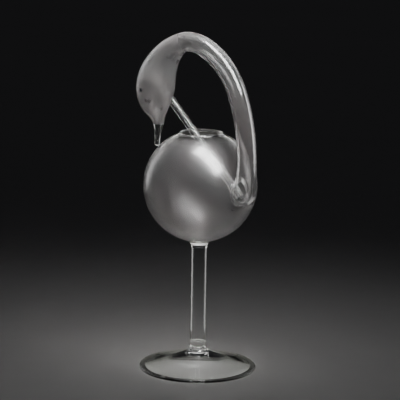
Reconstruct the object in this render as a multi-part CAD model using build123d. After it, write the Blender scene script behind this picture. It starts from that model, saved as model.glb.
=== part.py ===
# Glass swan decanter: a blown round bowl on a hollow stem and a wide foot, a swan's neck and
# head rising from the bowl's side, and a loose glass straw that stands in the bowl.
# Millimetres, +Z up. The origin is the centre of the foot's contact ring. +X is the side of
# the bowl that the neck grows from, and the head hangs on the -X side.
from build123d import *
import os
from math import cos, radians, sin

# Foot
FOOT_RADIUS = 51.8
FOOT_EDGE_HEIGHT = 3.0
FOOT_CONTACT_WIDTH = 4.0
FOOT_CENTRE_HEIGHT = 15.5
FOOT_MID_RADIUS = 30.0
FOOT_MID_HEIGHT = 7.9
FOOT_HOLLOW_HEIGHT = 10.5

# Stem and its two welds
STEM_RADIUS = 7.05
STEM_WALL = 1.3
STEM_BOTTOM = 22.0
STEM_TOP = 109.5
STEM_FLOOR = 2.3
STEM_FLOOR_ROUNDING = 1.3
FOOT_COLLAR_RADIUS = 10.0
FOOT_COLLAR_SLOPE = 0.45
BOWL_COLLAR_RADIUS = 15.5

# Bowl
BOWL_RADIUS = 50.0
BOWL_WALL = 1.8
BOWL_CENTRE = (0.0, 0.0, 164.9)
SHOULDER_HEIGHT = 206.0

# Mouth
MOUTH_RADIUS = 19.0
MOUTH_HEIGHT = 210.6
LIP_HALF_WIDTH = 2.0
LIP_HALF_HEIGHT = 1.1
LIP_NECK_RADIUS = 20.2

# Swan's neck: a tube that starts on the bowl's side and follows arcs in one upright plane,
# which stands NECK_OFFSET in front of the bowl's axis. Each arc is (radius, sweep in degrees).
NECK_OFFSET = 10.0
NECK_START = (53.6, 165.25)
NECK_START_LEAN = 12.7
NECK_RADIUS = 8.4
NECK_WALL = 2.0
ROOT_ARC = (111.0, 12.3)
RISE_ARC = (168.0, 20.6)
SHOULDER_ARC = (70.0, 43.0)
CROWN_ARC = (41.0, 26.0)

# Weld between the neck's rounded lower end and the bowl. Distances along it are measured from
# the bowl's centre.
ROOT_BALL_RADIUS = 10.2
ROOT_MIDDLE_RADIUS = 9.2
ROOT_FLARE_RADIUS = 17.0
ROOT_FLARE_SLOPE = 0.35
ROOT_FLARE_SINK = 1.0
ROOT_OPENING_RADIUS = 8.8
ROOT_THROAT_RADIUS = 7.6
ROOT_THROAT_START = 49.5
ROOT_THROAT_END = 53.0

# Swan's head: it carries on from the neck along two more arcs and a straight run to the beak.
NAPE_ARC = (24.0, 34.5)
BROW_ARC = (53.0, 66.7)
HEAD_STRAIGHT = 17.0
HEAD_WALL = 1.4
# Share of the head's length, radius in the neck's plane, and how flat the section is
EYE_SECTION = (0.67, 17.3, 0.935)
HEAD_SECTIONS = (
    (0.00, 8.4, 1.00),
    (0.08, 8.4, 1.00),
    (0.18, 9.8, 0.98),
    (0.34, 12.9, 0.96),
    (0.50, 16.1, 0.94),
    EYE_SECTION,
    (0.78, 15.1, 0.95),
    (0.90, 9.2, 0.98),
)

# Beak: it turns outwards by BEAK_TURN degrees from the head's own line.
BEAK_LENGTH = 20.0
BEAK_TURN = 13.5
BEAK_RADIUS = 4.8
BEAK_WAIST_RADIUS = 2.35
BEAK_TIP_RADIUS = 2.2
BEAK_BORE_RADIUS = 3.4
BEAK_BORE_END_RADIUS = 0.8
BEAK_SOLID_TIP = 5.0
BEAK_WAIST_FROM_TIP = 7.0
BEAK_TAPER = 0.3

# Eyes
EYE_RADIUS = 1.9
EYE_PROUD = 0.8
EYE_ANGLE = 77.0

# Loose straw: its lower end, and where its centre line crosses the height of the mouth
STRAW_RADIUS = 3.8
STRAW_BORE_RADIUS = 1.9
STRAW_LENGTH = 167.0
STRAW_LOWER_END = (52.0, -11.2, 161.7)
STRAW_AT_MOUTH = (-9.4, 2.5, 210.6)

FRONT_PLANE = Plane.XZ
FROM_BASE = (Align.CENTER, Align.CENTER, Align.MIN)
QUARTER_TURN = 90
NECK_PLANE = Plane(origin=(0, -NECK_OFFSET, 0), x_dir=(1, 0, 0), z_dir=(0, -1, 0))


def turned(outline):
    """Solid of revolution about Z from a closed outline drawn in the XZ plane."""
    return revolve(FRONT_PLANE * make_face(outline), Axis.Z)


def ball(radius, centre=BOWL_CENTRE):
    return Pos(*centre) * Sphere(radius)


def make_foot():
    """Shallow cone with a rounded edge, hollow underneath so that only its rim touches down."""
    edge = FOOT_EDGE_HEIGHT / 2
    edge_r = FOOT_RADIUS - edge
    inner_r = edge_r - FOOT_CONTACT_WIDTH
    outline = [
        Line((0, FOOT_HOLLOW_HEIGHT), (0, FOOT_CENTRE_HEIGHT)),
        Line((0, FOOT_CENTRE_HEIGHT), (FOOT_COLLAR_RADIUS, FOOT_CENTRE_HEIGHT)),
        ThreePointArc(
            (FOOT_COLLAR_RADIUS, FOOT_CENTRE_HEIGHT),
            (FOOT_MID_RADIUS, FOOT_MID_HEIGHT),
            (edge_r, FOOT_EDGE_HEIGHT),
        ),
        ThreePointArc((edge_r, FOOT_EDGE_HEIGHT), (FOOT_RADIUS, edge), (edge_r, 0)),
        Line((edge_r, 0), (inner_r, 0)),
        ThreePointArc(
            (inner_r, 0),
            (FOOT_MID_RADIUS, FOOT_MID_HEIGHT - FOOT_EDGE_HEIGHT),
            (FOOT_COLLAR_RADIUS, FOOT_HOLLOW_HEIGHT),
        ),
        Line((FOOT_COLLAR_RADIUS, FOOT_HOLLOW_HEIGHT), (0, FOOT_HOLLOW_HEIGHT)),
    ]
    return turned(outline)


def make_foot_collar():
    """Solid weld that flares from the stem down on to the foot."""
    outline = [
        Line((0, STEM_BOTTOM), (0, FOOT_CENTRE_HEIGHT)),
        Line((0, FOOT_CENTRE_HEIGHT), (FOOT_COLLAR_RADIUS, FOOT_CENTRE_HEIGHT)),
        Spline(
            (FOOT_COLLAR_RADIUS, FOOT_CENTRE_HEIGHT),
            (STEM_RADIUS, STEM_BOTTOM),
            tangents=[(-1, FOOT_COLLAR_SLOPE), (0, 1)],
        ),
        Line((STEM_RADIUS, STEM_BOTTOM), (0, STEM_BOTTOM)),
    ]
    return turned(outline)


def make_stem():
    """Straight tube, closed by a rounded floor at its lower end."""
    height = STEM_TOP - STEM_BOTTOM
    tube = Pos(0, 0, STEM_BOTTOM) * Cylinder(STEM_RADIUS, height, align=FROM_BASE)
    floor = STEM_BOTTOM + STEM_FLOOR
    hollow = Pos(0, 0, floor) * Cylinder(STEM_RADIUS - STEM_WALL, height, align=FROM_BASE)
    floor_edge = hollow.edges().sort_by(Axis.Z)[0]
    return tube - fillet(floor_edge, STEM_FLOOR_ROUNDING)


def make_bowl_collar():
    """Solid weld between the stem's open top and the underside of the bowl."""
    bowl_z = BOWL_CENTRE[2]
    meets_bowl = bowl_z - (BOWL_RADIUS**2 - BOWL_COLLAR_RADIUS**2) ** 0.5
    slope = BOWL_COLLAR_RADIUS / (bowl_z - meets_bowl)
    outline = [
        Line((0, bowl_z), (0, STEM_TOP)),
        Line((0, STEM_TOP), (STEM_RADIUS, STEM_TOP)),
        Spline(
            (STEM_RADIUS, STEM_TOP),
            (BOWL_COLLAR_RADIUS, meets_bowl),
            tangents=[(0, 1), (1, slope)],
        ),
        Line((BOWL_COLLAR_RADIUS, meets_bowl), (0, bowl_z)),
    ]
    return turned(outline) - ball(BOWL_RADIUS)


def make_bowl():
    """Round shell, open at the top and at the neck's root."""
    shell = ball(BOWL_RADIUS) - ball(BOWL_RADIUS - BOWL_WALL)
    width = 2 * BOWL_RADIUS
    above = Pos(0, 0, SHOULDER_HEIGHT) * Box(width, width, width, align=FROM_BASE)
    return shell - above - root_opening()


def make_mouth_rim():
    """Clear band that closes the shoulder in to the mouth, with a flattened bead for a lip."""
    centre_z = BOWL_CENTRE[2]
    inner = BOWL_RADIUS - BOWL_WALL
    rise = SHOULDER_HEIGHT - centre_z
    outer_r = (BOWL_RADIUS**2 - rise**2) ** 0.5
    inner_r = (inner**2 - rise**2) ** 0.5
    neck_outer_z = centre_z + (BOWL_RADIUS**2 - LIP_NECK_RADIUS**2) ** 0.5
    neck_inner_r = LIP_NECK_RADIUS - BOWL_WALL / 2
    neck_inner_z = centre_z + (inner**2 - neck_inner_r**2) ** 0.5
    mid = (outer_r + LIP_NECK_RADIUS) / 2
    mid_in = (inner_r + neck_inner_r) / 2
    outline = [
        Line((inner_r, SHOULDER_HEIGHT), (outer_r, SHOULDER_HEIGHT)),
        ThreePointArc(
            (outer_r, SHOULDER_HEIGHT),
            (mid, centre_z + (BOWL_RADIUS**2 - mid**2) ** 0.5),
            (LIP_NECK_RADIUS, neck_outer_z),
        ),
        Line((LIP_NECK_RADIUS, neck_outer_z), (neck_inner_r, neck_inner_z)),
        ThreePointArc(
            (neck_inner_r, neck_inner_z),
            (mid_in, centre_z + (inner**2 - mid_in**2) ** 0.5),
            (inner_r, SHOULDER_HEIGHT),
        ),
    ]
    lip = Pos(MOUTH_RADIUS, MOUTH_HEIGHT) * Ellipse(LIP_HALF_WIDTH, LIP_HALF_HEIGHT)
    return turned(outline) + revolve(FRONT_PLANE * lip, Axis.Z)


def tangent_arc(start, arc):
    """Arc that carries on from the end of another one, turning towards -X."""
    radius, sweep = arc
    return JernArc(start @ 1, start % 1, radius, sweep)


def neck_arcs():
    """The neck's and head's centre line in the neck's own plane, one arc after another."""
    lean = radians(NECK_START_LEAN)
    root = JernArc(NECK_START, (sin(lean), cos(lean)), *ROOT_ARC)
    rise = tangent_arc(root, RISE_ARC)
    shoulder = tangent_arc(rise, SHOULDER_ARC)
    crown = tangent_arc(shoulder, CROWN_ARC)
    nape = tangent_arc(crown, NAPE_ARC)
    brow = tangent_arc(nape, BROW_ARC)
    straight = Line(brow @ 1, brow @ 1 + (brow % 1) * HEAD_STRAIGHT)
    return root, rise, shoulder, crown, nape, brow, straight


def section_plane(path, share):
    """Plane square to a path in the neck's plane, with its x axis in that plane."""
    here = path @ share
    along = path % share
    across = along.cross(Vector(0, 0, 1))
    local = Plane(origin=here, x_dir=across, z_dir=along)
    return Plane(NECK_PLANE * local)


def tube_along(path, radius):
    """Round bar of one radius along a path in the neck's plane."""
    disc = section_plane(path, 0) * Circle(radius)
    return sweep(disc, path=NECK_PLANE * path)


def root_tube(root, thinner=0.0):
    """Lowest stretch of the neck, which narrows upwards from the ball to the neck's own radius."""
    radii = (ROOT_BALL_RADIUS, ROOT_MIDDLE_RADIUS, NECK_RADIUS)
    sections = []
    for i, radius in enumerate(radii):
        plane = section_plane(root, i / (len(radii) - 1))
        sections.append(plane * Circle(radius - thinner))
    return loft(sections)


def root_ball_centre():
    x, z = NECK_START
    return (x, -NECK_OFFSET, z)


def root_plane():
    """Plane at the bowl's centre that faces the neck's root."""
    outwards = Vector(*root_ball_centre()) - Vector(*BOWL_CENTRE)
    return Plane(origin=BOWL_CENTRE, x_dir=(0, 1, 0), z_dir=outwards)


def root_reach():
    """Distance from the bowl's centre to the centre of the neck's rounded end."""
    return (Vector(*root_ball_centre()) - Vector(*BOWL_CENTRE)).length


def root_turned(outline):
    """Solid of revolution about the line from the bowl's centre to the neck's root."""
    return root_plane() * turned(outline)


def root_opening():
    """Way from the bowl into the neck's root, wide at the bowl and narrowing to the neck's bore."""
    mouth_z = BOWL_RADIUS - 2 * BOWL_WALL
    outline = [
        Line((0, mouth_z), (ROOT_OPENING_RADIUS, mouth_z)),
        Line((ROOT_OPENING_RADIUS, mouth_z), (ROOT_OPENING_RADIUS, ROOT_THROAT_START)),
        Line((ROOT_OPENING_RADIUS, ROOT_THROAT_START), (ROOT_THROAT_RADIUS, ROOT_THROAT_END)),
        Line((ROOT_THROAT_RADIUS, ROOT_THROAT_END), (0, ROOT_THROAT_END)),
        Line((0, ROOT_THROAT_END), (0, mouth_z)),
    ]
    return root_turned(outline)


def make_neck_root(root):
    """Rounded lower end of the neck, flared where it is welded to the bowl, and hollow."""
    reach = root_reach()
    foot_z = (BOWL_RADIUS**2 - ROOT_FLARE_RADIUS**2) ** 0.5
    flare_end = ROOT_BALL_RADIUS - ROOT_FLARE_SINK
    flare = root_turned([
        Line((0, foot_z - BOWL_WALL), (ROOT_FLARE_RADIUS, foot_z)),
        Spline(
            (ROOT_FLARE_RADIUS, foot_z),
            (flare_end, reach),
            tangents=[(-1, ROOT_FLARE_SLOPE), (0, 1)],
        ),
        Line((flare_end, reach), (0, reach)),
        Line((0, reach), (0, foot_z - BOWL_WALL)),
    ])
    outside = flare + ball(ROOT_BALL_RADIUS, root_ball_centre()) + root_tube(root)
    inside = ball(ROOT_BALL_RADIUS - NECK_WALL, root_ball_centre()) + root_opening()
    inside = inside + root_tube(root, NECK_WALL)
    return outside - ball(BOWL_RADIUS) - inside


def make_swan_neck(arcs):
    """Hollow tube of one bore along the neck's arcs."""
    path = Wire([arc.edge() for arc in arcs])
    return tube_along(path, NECK_RADIUS) - tube_along(path, NECK_RADIUS - NECK_WALL)


def beak_plane(path):
    """Plane where the beak is drawn out of the head's lower end."""
    return section_plane(path, 1) * Rot(0, BEAK_TURN, 0)


def head_form(path, wall):
    """Solid through the head's sections and the beak's root, drawn in by a wall thickness."""
    sections = []
    for share, radius, flatness in HEAD_SECTIONS:
        section = Ellipse(radius - wall, radius * flatness - wall)
        sections.append(section_plane(path, share) * section)
    sections.append(beak_plane(path) * Circle(BEAK_RADIUS - wall))
    return loft(sections)


def make_swan_head(arcs):
    """Blown head: hollow, open to the neck above and to the beak below."""
    path = Wire([arc.edge() for arc in arcs])
    return head_form(path, 0) - head_form(path, HEAD_WALL)


def make_beak(arcs):
    """Drawn point with a rounded tip and a narrowing bore that stops short of it."""
    path = Wire([arc.edge() for arc in arcs])
    length = BEAK_LENGTH
    waist_z = length - BEAK_WAIST_FROM_TIP
    tip_z = length - BEAK_TIP_RADIUS
    outline = [
        Line((0, 0), (BEAK_RADIUS, 0)),
        Spline(
            (BEAK_RADIUS, 0),
            (BEAK_WAIST_RADIUS, waist_z),
            (BEAK_TIP_RADIUS, tip_z),
            tangents=[(-BEAK_TAPER, 1), (0, 1)],
        ),
        CenterArc((0, tip_z), BEAK_TIP_RADIUS, 0, QUARTER_TURN),
        Line((0, length), (0, 0)),
    ]
    bore_length = length - BEAK_SOLID_TIP
    bore = Pos(0, 0, bore_length / 2) * Cone(BEAK_BORE_RADIUS, BEAK_BORE_END_RADIUS, bore_length)
    return beak_plane(path) * (turned(outline) - bore)


def make_eye(arcs, side):
    """Bead melted on to the side of the head: side is 1 or -1."""
    path = Wire([arc.edge() for arc in arcs])
    share, radius, flatness = EYE_SECTION
    turn = side * radians(EYE_ANGLE)
    sunk = EYE_RADIUS - EYE_PROUD
    place = Pos((radius - sunk) * cos(turn), (radius * flatness - sunk) * sin(turn))
    bead = section_plane(path, share) * place * Sphere(EYE_RADIUS)
    return bead - head_form(path, 0)


def make_straw():
    """Straight open tube that leans from the neck's root, out over the mouth's far edge."""
    lower = Vector(*STRAW_LOWER_END)
    plane = Plane(origin=lower, z_dir=Vector(*STRAW_AT_MOUTH) - lower)
    tube = Cylinder(STRAW_RADIUS, STRAW_LENGTH, align=FROM_BASE)
    bore = Cylinder(STRAW_BORE_RADIUS, STRAW_LENGTH, align=FROM_BASE)
    return plane * (tube - bore)


def make_parts():
    root, rise, shoulder, crown, nape, brow, straight = neck_arcs()
    head_arcs = (nape, brow, straight)
    return {
        "foot": make_foot(),
        "foot_collar": make_foot_collar(),
        "stem": make_stem(),
        "bowl_collar": make_bowl_collar(),
        "bowl": make_bowl(),
        "mouth_rim": make_mouth_rim(),
        "neck_root": make_neck_root(root),
        "swan_neck": make_swan_neck((rise, shoulder, crown)),
        "swan_head": make_swan_head(head_arcs),
        "beak": make_beak(head_arcs),
        "left_eye": make_eye(head_arcs, 1),
        "right_eye": make_eye(head_arcs, -1),
        "straw": make_straw(),
    }


os.makedirs("parts", exist_ok=True)
for name, part in make_parts().items():
    export_step(part, f"parts/{name}.step")
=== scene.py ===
"""Looks of the glass swan decanter: glass surfaces, materials, camera, floor and studio light."""

from math import cos, radians, sin

import bmesh
import bpy
from mathutils import Matrix, Vector
from mathutils.bvhtree import BVHTree


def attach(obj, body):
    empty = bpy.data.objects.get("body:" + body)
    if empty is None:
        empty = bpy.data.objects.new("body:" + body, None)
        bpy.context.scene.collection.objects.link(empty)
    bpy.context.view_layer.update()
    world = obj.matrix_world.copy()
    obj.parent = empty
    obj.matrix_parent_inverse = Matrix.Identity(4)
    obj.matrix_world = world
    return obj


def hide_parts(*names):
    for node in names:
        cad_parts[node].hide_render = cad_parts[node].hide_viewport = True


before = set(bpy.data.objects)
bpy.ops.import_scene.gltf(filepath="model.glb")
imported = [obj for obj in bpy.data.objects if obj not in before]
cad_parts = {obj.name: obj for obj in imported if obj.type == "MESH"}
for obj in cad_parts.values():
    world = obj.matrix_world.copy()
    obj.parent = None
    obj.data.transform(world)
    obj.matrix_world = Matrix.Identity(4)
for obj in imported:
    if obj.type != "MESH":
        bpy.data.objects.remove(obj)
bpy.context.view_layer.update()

# Camera, in metres and degrees: it stands in front of the decanter, to its right
CAMERA_AZIMUTH = 36.5
CAMERA_DISTANCE = 1.6
CAMERA_HEIGHT = 0.4583
CAMERA_PITCH = -10.85
CAMERA_ROLL = 0.89
CAMERA_LENS = 167.45
CAMERA_SENSOR = 36.0

# Studio, in metres, watts and degrees
FLOOR_SIZE = 14.0
FLOOR_COLOUR = (0.64, 0.64, 0.63, 1.0)
FLOOR_DARK_COLOUR = (0.58, 0.58, 0.57, 1.0)
FLOOR_ROUGHNESS = 0.6
WORLD_COLOUR = (0.012, 0.012, 0.013, 1.0)
LIGHT_TARGET = (0.0, 0.0, 0.17)

# The overhead lights shine on neither the floor nor the foot
OVERHEAD_LIGHTS = {
    "softbox": {
        "place": (0.42, -0.16, 0.95), "target": LIGHT_TARGET, "size": (1.1, 0.34),
        "long_axis": (0.84, -0.04, -0.54), "power": 52, "spread": 150,
    },
    "top_panel": {
        "place": (0.0, 0.0, 1.4), "target": LIGHT_TARGET, "size": (1.6, 1.6),
        "long_axis": (1, 0, 0), "power": 3.5, "spread": 170,
    },
    "back_strip": {
        "place": (-0.65, 0.9, 0.62), "target": LIGHT_TARGET, "size": (1.6, 0.12),
        "long_axis": (0.8, 0.6, 0), "power": 0.9, "spread": 120,
    },
}

# The side lights brighten the edges of the glass, and don't shine on the floor
SIDE_LIGHTS = {
    "left_panel": {
        "place": (-1.1, 0.1, 0.35), "target": LIGHT_TARGET, "size": (0.8, 0.3),
        "long_axis": (0, 0, 1), "power": 0.6, "spread": 120,
    },
    "right_panel": {
        "place": (0.5, 1.1, 0.35), "target": LIGHT_TARGET, "size": (0.8, 0.3),
        "long_axis": (0, 0, 1), "power": 0.8, "spread": 120,
    },
}

# Small low cards close to the stem draw its bright edges, and shine on neither the floor nor the bowl
STEM_CARDS = {
    "left_card": {
        "place": (-0.13, 0.0, 0.06), "target": (0, 0, 0.06), "size": (0.12, 0.07),
        "long_axis": (0, 0, 1), "power": 0.012, "spread": 160,
    },
    "right_card": {
        "place": (0.045, 0.122, 0.06), "target": (0, 0, 0.06), "size": (0.12, 0.07),
        "long_axis": (0, 0, 1), "power": 0.012, "spread": 160,
    },
}

# The floor's own light, which casts no shadow of the glass
FLOOR_LIGHT = {
    "place": (0.1, -0.1, 1.2), "target": (0, 0, 0), "size": (0.3, 0.3),
    "long_axis": (1, 0, 0), "power": 0.11, "spread": 45,
}

# Glass
GLASS_IOR = 1.47
CLEAR_COLOUR = (0.975, 0.98, 0.975, 1.0)
EDGE_COLOUR = (0.86, 0.91, 0.66, 1.0)
SATIN_COLOUR = (0.92, 0.925, 0.92, 1.0)
SATIN_WARM_COLOUR = (0.9, 0.86, 0.86, 1.0)
BLACK_COLOUR = (0.01, 0.01, 0.012, 1.0)
CLEAR_ROUGHNESS = 0.008
RIM_ROUGHNESS = 0.02
EYE_ROUGHNESS = 0.08
BOWL_ROUGHNESS = 0.21
ROOT_ROUGHNESS = 0.06
NECK_ROUGHNESS = 0.14
HEAD_ROUGHNESS = 0.31
HAZE = 0.01

# Shares of a roughness by which it varies from patch to patch
CLEAR_VARIATION = 0.8
RIM_VARIATION = 0.3
SATIN_VARIATION = 0.15
EYE_VARIATION = 0.4
FLOOR_VARIATION = 0.1

# Heights in metres between which the rim goes from satin to clear, and the neck's root from clear to
# satin, and places across in metres between which the head's satin fades into the neck's
RIM_FADE = (0.206, 0.2095)
ROOT_FADE = (0.168, 0.195)
HEAD_FADE = (-0.03, 0.04)

# The tint at grazing angles: how it favours the edge, and the facing values where it starts and is full
TINT_BLEND = 0.35
TINT_FACING = (0.3, 0.95)

# Surface detail: noise scales in waves per metre, heights in metres, details in octaves
FLOOR_STAIN_SCALE = 3.0
FLOOR_STAIN_DETAIL = 4.0
PATCH_SCALE = 26.0
PATCH_DETAIL = 3.0
PATCH_LIMITS = (0.35, 0.7)
CLOUD_SCALE = 45.0
CLOUD_DETAIL = 5.0
CLOUD_LIMITS = (0.3, 0.7)
GRAIN_SCALE = 1400.0
GRAIN_DETAIL = 2.0
GRAIN_HEIGHT = 0.00002
RIPPLE_SCALE = 40.0
RIPPLE_DETAIL = 1.0
RIPPLE_HEIGHT = 0.0002
PAPER_GRAIN_SCALE = 900.0
PAPER_GRAIN_DETAIL = 5.0
PAPER_GRAIN_HEIGHT = 0.0001

# How far noise is drawn out along each axis of a piece: less than 1 is longer
NO_SQUASH = (1.0, 1.0, 1.0)
ALONG_Z = (1.0, 1.0, 0.15)
ALONG_STRAW = (0.4, 1.0, 0.5)

# Two fused surfaces of the CAD model lie closer than this, in metres, and face each other: the dot
# product of their normals is below this
WELD_GAP = 0.00008
WELD_FACING = -0.9

# The neighbours that each piece is fused to
WELDS = {
    "foot": ["foot_collar"],
    "foot_collar": ["foot", "stem"],
    "stem": ["foot_collar", "bowl_collar"],
    "bowl_collar": ["stem", "bowl"],
    "bowl": ["bowl_collar", "mouth_rim", "neck_root"],
    "mouth_rim": ["bowl"],
    "neck_root": ["bowl", "swan_neck"],
    "swan_neck": ["neck_root", "swan_head"],
    "swan_head": ["swan_neck", "beak"],
    "beak": ["swan_head"],
}


def add_to_scene(name, data):
    thing = bpy.data.objects.new(name, data)
    bpy.context.scene.collection.objects.link(thing)
    return thing


def make_camera():
    azimuth = radians(CAMERA_AZIMUTH)
    data = bpy.data.cameras.new("camera")
    data.lens = CAMERA_LENS
    data.sensor_width = CAMERA_SENSOR
    camera = add_to_scene("camera", data)
    away = Vector((sin(azimuth), -cos(azimuth), 0)) * CAMERA_DISTANCE
    place = Matrix.Translation(away + Vector((0, 0, CAMERA_HEIGHT)))
    turn = Matrix.Rotation(azimuth, 4, "Z")
    tilt = Matrix.Rotation(radians(90 + CAMERA_PITCH), 4, "X")
    roll = Matrix.Rotation(radians(CAMERA_ROLL), 4, "Z")
    camera.matrix_world = place @ turn @ tilt @ roll
    bpy.context.scene.camera = camera


def make_area_light(name, place, target, size, long_axis, power, spread):
    """Rectangular softbox that faces its target, with its first size along long_axis."""
    data = bpy.data.lights.new(name, "AREA")
    data.shape = "RECTANGLE"
    data.size, data.size_y = size
    data.energy = power
    data.spread = radians(spread)
    light = add_to_scene(name, data)
    away = (Vector(place) - Vector(target)).normalized()
    across = away.cross(Vector(long_axis)).normalized()
    along = across.cross(away)
    turn = Matrix((along, across, away)).transposed().to_4x4()
    light.matrix_world = Matrix.Translation(place) @ turn
    light.visible_camera = False
    return light


def all_but(name, things):
    """Light linking group that stands for everything but these things."""
    group = bpy.data.collections.new(name)
    for thing in things:
        group.objects.link(thing)
    for member in group.collection_objects:
        member.light_linking.link_state = "EXCLUDE"
    return group


def leave_unlit(light, things):
    light.light_linking.receiver_collection = all_but(light.name + "_unlit", things)


def shine_through(light, things):
    """The light passes these things without casting a shadow, as it nearly does through thin glass."""
    light.light_linking.blocker_collection = all_but(light.name + "_unshaded", things)


def make_world():
    world = bpy.data.worlds.new("studio")
    world.use_nodes = True
    world.node_tree.nodes["Background"].inputs["Color"].default_value = WORLD_COLOUR
    bpy.context.scene.world = world


def new_material(name):
    material = bpy.data.materials.new(name)
    material.use_nodes = True
    tree = material.node_tree
    return material, tree, tree.nodes["Principled BSDF"]


def place_socket(tree):
    """Output that gives the place on the surface, in metres, in the object's own frame."""
    return tree.nodes.new("ShaderNodeTexCoord").outputs["Object"]


def noise_socket(tree, scale, detail, squash=NO_SQUASH):
    """Output of soft noise between 0 and 1, drawn out where an axis has a squash below 1."""
    stretch = tree.nodes.new("ShaderNodeMapping")
    stretch.inputs["Scale"].default_value = squash
    noise = tree.nodes.new("ShaderNodeTexNoise")
    noise.inputs["Scale"].default_value = scale
    noise.inputs["Detail"].default_value = detail
    tree.links.new(place_socket(tree), stretch.inputs["Vector"])
    tree.links.new(stretch.outputs["Vector"], noise.inputs["Vector"])
    return noise.outputs["Fac"]


def math_socket(tree, operation, first, second):
    node = tree.nodes.new("ShaderNodeMath")
    node.operation = operation
    for socket, value in zip(node.inputs, (first, second)):
        if isinstance(value, bpy.types.NodeSocket):
            tree.links.new(value, socket)
        else:
            socket.default_value = value
    return node.outputs["Value"]


def ramp_socket(tree, source, limits, low, high):
    """Output that goes smoothly from low to high as the source goes from one limit to the other."""
    start, end = limits
    ramp = tree.nodes.new("ShaderNodeMapRange")
    ramp.interpolation_type = "SMOOTHSTEP"
    tree.links.new(source, ramp.inputs["Value"])
    values = {"From Min": start, "From Max": end, "To Min": low, "To Max": high}
    for name, value in values.items():
        ramp.inputs[name].default_value = value
    return ramp.outputs["Result"]


def ramp_along(tree, axis, limits, low, high):
    """The same for one coordinate of the place on the surface."""
    split = tree.nodes.new("ShaderNodeSeparateXYZ")
    tree.links.new(place_socket(tree), split.inputs["Vector"])
    return ramp_socket(tree, split.outputs[axis], limits, low, high)


def blend_colours(tree, shader, factor, first, second):
    mix = tree.nodes.new("ShaderNodeMixRGB")
    mix.inputs["Color1"].default_value = first
    mix.inputs["Color2"].default_value = second
    tree.links.new(factor, mix.inputs["Fac"])
    tree.links.new(mix.outputs["Color"], shader.inputs["Base Color"])


def set_roughness(tree, shader, level, variation):
    """Roughness that drifts in patches round a level: variation is a share of that level."""
    noise = noise_socket(tree, CLOUD_SCALE, CLOUD_DETAIL)
    clouds = ramp_socket(tree, noise, CLOUD_LIMITS, 1 - variation, 1 + variation)
    tree.links.new(math_socket(tree, "MULTIPLY", clouds, level), shader.inputs["Roughness"])


def add_bump(tree, shader, height_source, height):
    bump = tree.nodes.new("ShaderNodeBump")
    bump.inputs["Distance"].default_value = height
    tree.links.new(height_source, bump.inputs["Height"])
    tree.links.new(bump.outputs["Normal"], shader.inputs["Normal"])


def floor_material():
    material, tree, shader = new_material("floor_paper")
    stains = noise_socket(tree, FLOOR_STAIN_SCALE, FLOOR_STAIN_DETAIL)
    blend_colours(tree, shader, stains, FLOOR_COLOUR, FLOOR_DARK_COLOUR)
    set_roughness(tree, shader, FLOOR_ROUGHNESS, FLOOR_VARIATION)
    grain = noise_socket(tree, PAPER_GRAIN_SCALE, PAPER_GRAIN_DETAIL)
    add_bump(tree, shader, grain, PAPER_GRAIN_HEIGHT)
    return material


def make_floor():
    half = FLOOR_SIZE / 2
    mesh = bpy.data.meshes.new("floor")
    corners = [(-half, -half, 0), (half, -half, 0), (half, half, 0), (-half, half, 0)]
    mesh.from_pydata(corners, [], [(0, 1, 2, 3)])
    mesh.materials.append(floor_material())
    floor = add_to_scene("floor", mesh)
    return floor


def glass(name, colour, haze=0.0):
    """Glass whose haze is the share of light that it scatters instead of letting through."""
    material, tree, shader = new_material(name)
    shader.inputs["Base Color"].default_value = colour
    shader.inputs["IOR"].default_value = GLASS_IOR
    shader.inputs["Transmission Weight"].default_value = 1.0 - haze
    return material, tree, shader


def grazing_tint(tree, shader):
    """Faint green that shows where the glass is seen edge-on."""
    facing = tree.nodes.new("ShaderNodeLayerWeight")
    facing.inputs["Blend"].default_value = TINT_BLEND
    tint = ramp_socket(tree, facing.outputs["Facing"], TINT_FACING, 0.0, 1.0)
    blend_colours(tree, shader, tint, CLEAR_COLOUR, EDGE_COLOUR)


def add_ripples(tree, shader, squash=NO_SQUASH):
    add_bump(tree, shader, noise_socket(tree, RIPPLE_SCALE, RIPPLE_DETAIL, squash), RIPPLE_HEIGHT)


def add_grain(tree, shader):
    add_bump(tree, shader, noise_socket(tree, GRAIN_SCALE, GRAIN_DETAIL), GRAIN_HEIGHT)


def clear_glass(name, squash):
    """Clear blown or drawn glass, with slow ripples drawn out along its length."""
    material, tree, shader = glass(name, CLEAR_COLOUR)
    grazing_tint(tree, shader)
    set_roughness(tree, shader, CLEAR_ROUGHNESS, CLEAR_VARIATION)
    add_ripples(tree, shader, squash)
    return material


def rim_glass():
    """Satin below like the bowl, and clear and tinted at the fire-polished lip."""
    material, tree, shader = glass("rim_glass", CLEAR_COLOUR)
    grazing_tint(tree, shader)
    fade = ramp_along(tree, "Z", RIM_FADE, BOWL_ROUGHNESS, RIM_ROUGHNESS)
    set_roughness(tree, shader, fade, RIM_VARIATION)
    add_ripples(tree, shader)
    return material


def satin_glass(name, roughness):
    """Etched glass: mottled warm and cool, uneven in its roughness, with a fine grain."""
    material, tree, shader = glass(name, SATIN_COLOUR, HAZE)
    patches = ramp_socket(tree, noise_socket(tree, PATCH_SCALE, PATCH_DETAIL), PATCH_LIMITS, 0.0, 1.0)
    blend_colours(tree, shader, patches, SATIN_COLOUR, SATIN_WARM_COLOUR)
    set_roughness(tree, shader, roughness(tree), SATIN_VARIATION)
    add_grain(tree, shader)
    return material


def bowl_roughness(tree):
    """The same all over the bowl, so nothing is added to the tree."""
    return BOWL_ROUGHNESS


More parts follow.
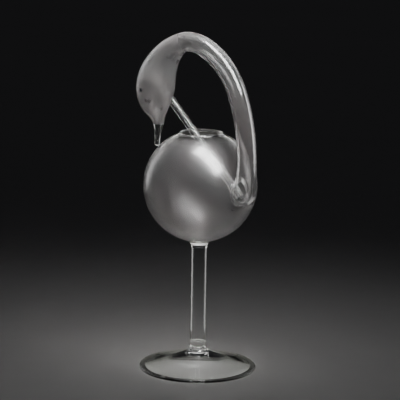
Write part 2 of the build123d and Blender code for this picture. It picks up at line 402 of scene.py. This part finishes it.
def swan_roughness(tree):
    """Nearly clear at the neck's root, satin along the neck, and cloudier towards the head."""
    up_from_root = ramp_along(tree, "Z", ROOT_FADE, ROOT_ROUGHNESS, NECK_ROUGHNESS)
    to_head = ramp_along(tree, "X", HEAD_FADE, HEAD_ROUGHNESS - NECK_ROUGHNESS, 0.0)
    return math_socket(tree, "ADD", up_from_root, to_head)


def black_glass():
    material, tree, shader = new_material("black_glass")
    shader.inputs["Base Color"].default_value = BLACK_COLOUR
    set_roughness(tree, shader, EYE_ROUGHNESS, EYE_VARIATION)
    add_grain(tree, shader)
    return material


def surface_tree(node):
    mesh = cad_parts[node].data
    points = [v.co for v in mesh.vertices]
    faces = [tuple(p.vertices) for p in mesh.polygons]
    return BVHTree.FromPolygons(points, faces)


def is_weld(face, trees):
    """True for a face that lies against the neighbour that it is fused to."""
    centre = face.calc_center_median()
    for tree in trees:
        place, normal, _, _ = tree.find_nearest(centre, WELD_GAP)
        if place is not None and normal.dot(face.normal) < WELD_FACING:
            return True
    return False


def fused_piece(node):
    """The CAD node's surface without the faces where its glass is fused to its neighbours."""
    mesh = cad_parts[node].data.copy()
    trees = [surface_tree(neighbour) for neighbour in WELDS[node]]
    bm = bmesh.new()
    bm.from_mesh(mesh)
    welds = [face for face in bm.faces if is_weld(face, trees)]
    bmesh.ops.delete(bm, geom=welds, context="FACES")
    bm.to_mesh(mesh)
    bm.free()
    piece = add_to_scene(node + "_glass", mesh)
    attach(piece, "decanter")
    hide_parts(node)
    return piece


def dress(thing, material):
    thing.data.materials.clear()
    thing.data.materials.append(material)


def make_glass():
    """Dress every piece of the decanter and the straw, and return the vessel's pieces by node."""
    clear = clear_glass("clear_glass", ALONG_Z)
    swan = satin_glass("swan_glass", swan_roughness)
    black = black_glass()
    finishes = {
        "bowl": (satin_glass("bowl_glass", bowl_roughness), "satin_glass"),
        "mouth_rim": (rim_glass(), "rim_glass"),
        "neck_root": (swan, "satin_glass"),
        "swan_neck": (swan, "satin_glass"),
        "swan_head": (swan, "satin_glass"),
    }
    pieces = {}
    for node in WELDS:
        pieces[node] = fused_piece(node)
        material, slot = finishes.get(node, (clear, "clear_glass"))
        dress(pieces[node], material)
    dress(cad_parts["straw"], clear_glass("straw_glass", ALONG_STRAW))
    for node in ("left_eye", "right_eye"):
        dress(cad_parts[node], black)
    return pieces


make_camera()
make_world()
floor = make_floor()
pieces = make_glass()
for name, settings in OVERHEAD_LIGHTS.items():
    leave_unlit(make_area_light(name, **settings), [floor, pieces["foot"]])
for name, settings in SIDE_LIGHTS.items():
    leave_unlit(make_area_light(name, **settings), [floor])
for name, settings in STEM_CARDS.items():
    leave_unlit(make_area_light(name, **settings), [floor, pieces["bowl"]])
shine_through(make_area_light("floor_light", **FLOOR_LIGHT), pieces.values())
